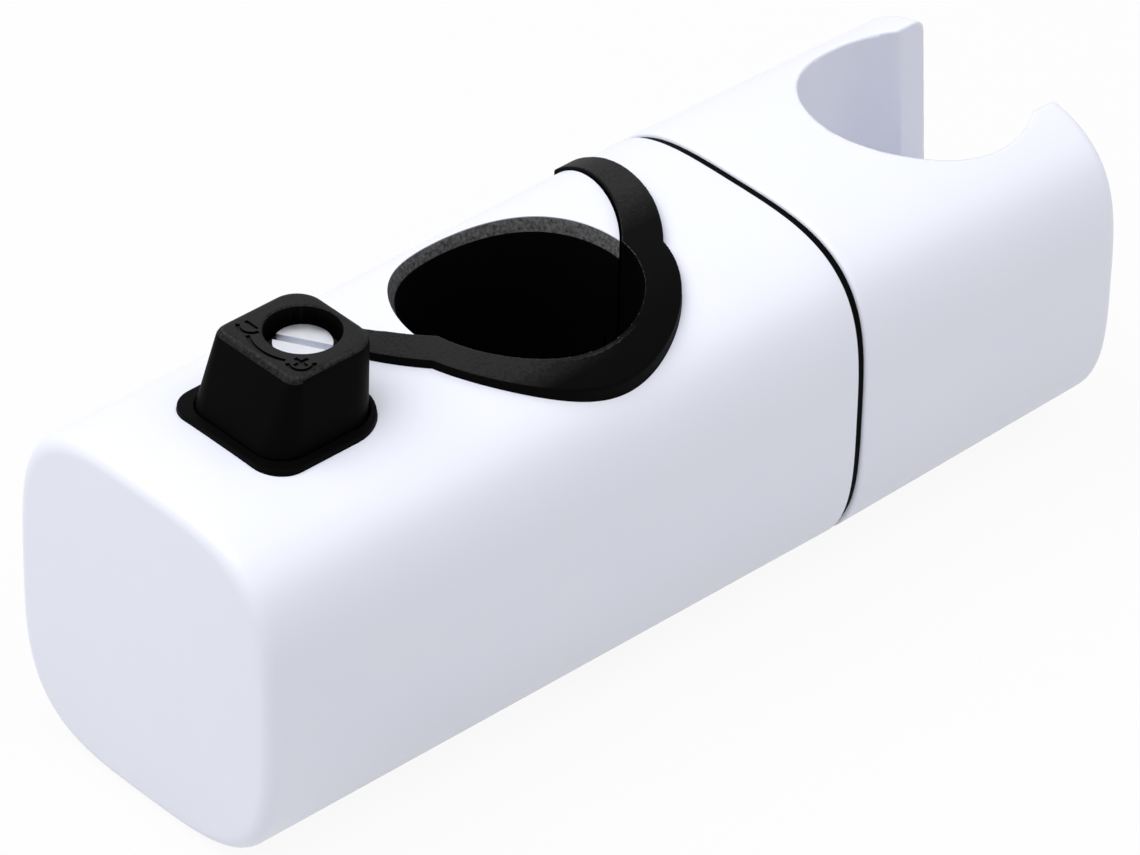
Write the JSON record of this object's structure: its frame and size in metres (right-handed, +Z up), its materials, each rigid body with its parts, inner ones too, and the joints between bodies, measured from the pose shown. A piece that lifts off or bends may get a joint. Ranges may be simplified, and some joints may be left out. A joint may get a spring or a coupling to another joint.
{
  "type": "shower head holder",
  "caption": "Sliding holder for a hand shower that clamps on a round riser rail, with a press button to release it and a swivelling slotted cradle for the handset.",
  "frame": {"origin": "on the axis of the bore for the riser rail, at the middle of the body's height", "axes": "+Z up along the rail, +X along the body to the cradle, +Y to the back"},
  "size_m": [0.1174, 0.04, 0.0483],
  "materials": {
    "white_plastic": "satin",
    "black_plastic": "fine grain",
    "grey_plastic": "matt",
    "steel": "satin",
    "rubber": "matt"
  },
  "bodies": {
    "main": {"body_shell": "white_plastic", "rail_liner": "black_plastic", "end_carrier": "grey_plastic", "carrier_screws": "steel", "seam_ring": "black_plastic", "pivot_nut": "steel", "pivot_screw": "steel", "pivot_washer": "steel", "pivot_spring": "steel", "button_bezel": "black_plastic", "button_spring": "steel"},
    "cradle": {"cradle": "white_plastic"},
    "gate": {"rear_gate": "white_plastic", "gate_liner": "black_plastic"},
    "button": {"release_button": "black_plastic"},
    "screw": {"tension_screw": "steel"},
    "seat": {"spring_seat": "steel"},
    "shoe": {"brake_shoe": "grey_plastic", "brake_pad": "rubber", "shoe_pin": "steel"}
  },
  "joints": [
    {"name": "cradle_swivel", "type": "hinge", "parent": "main", "child": "cradle", "pos_m": [0.0303, 0, 0], "axis": [1, 0, 0], "continuous": true},
    {"name": "button_press", "type": "slide", "parent": "main", "child": "button", "axis": [0, 0, 1], "range_m": [-0.003, 0], "stiffness_N_per_m": 1500, "springref_m": 0.002, "deforming": ["button_spring"]},
    {"name": "screw_turn", "type": "hinge", "parent": "button", "child": "screw", "pos_m": [-0.0289, 0, 0.0245], "axis": [0, 0, 1], "range_deg": [-45, 45]},
    {"name": "seat_travel", "type": "slide", "parent": "button", "child": "seat", "axis": [0, 0, 1], "range_m": [-0.0000875, 0.0000875]},
    {"name": "shoe_slide", "type": "slide", "parent": "main", "child": "shoe", "axis": [1, 0, 0], "range_m": [-0.0012, 0]},
    {"name": "gate_slide", "type": "slide", "parent": "main", "child": "gate", "axis": [0, 1, 0], "range_m": [0, 0.02]}
  ],
  "couplings": [
    {"joint": "shoe_slide", "follows": "button_press", "ratio": 0.4},
    {"joint": "screw_turn", "follows": "seat_travel", "rad_per_m": -8976}
  ]
}
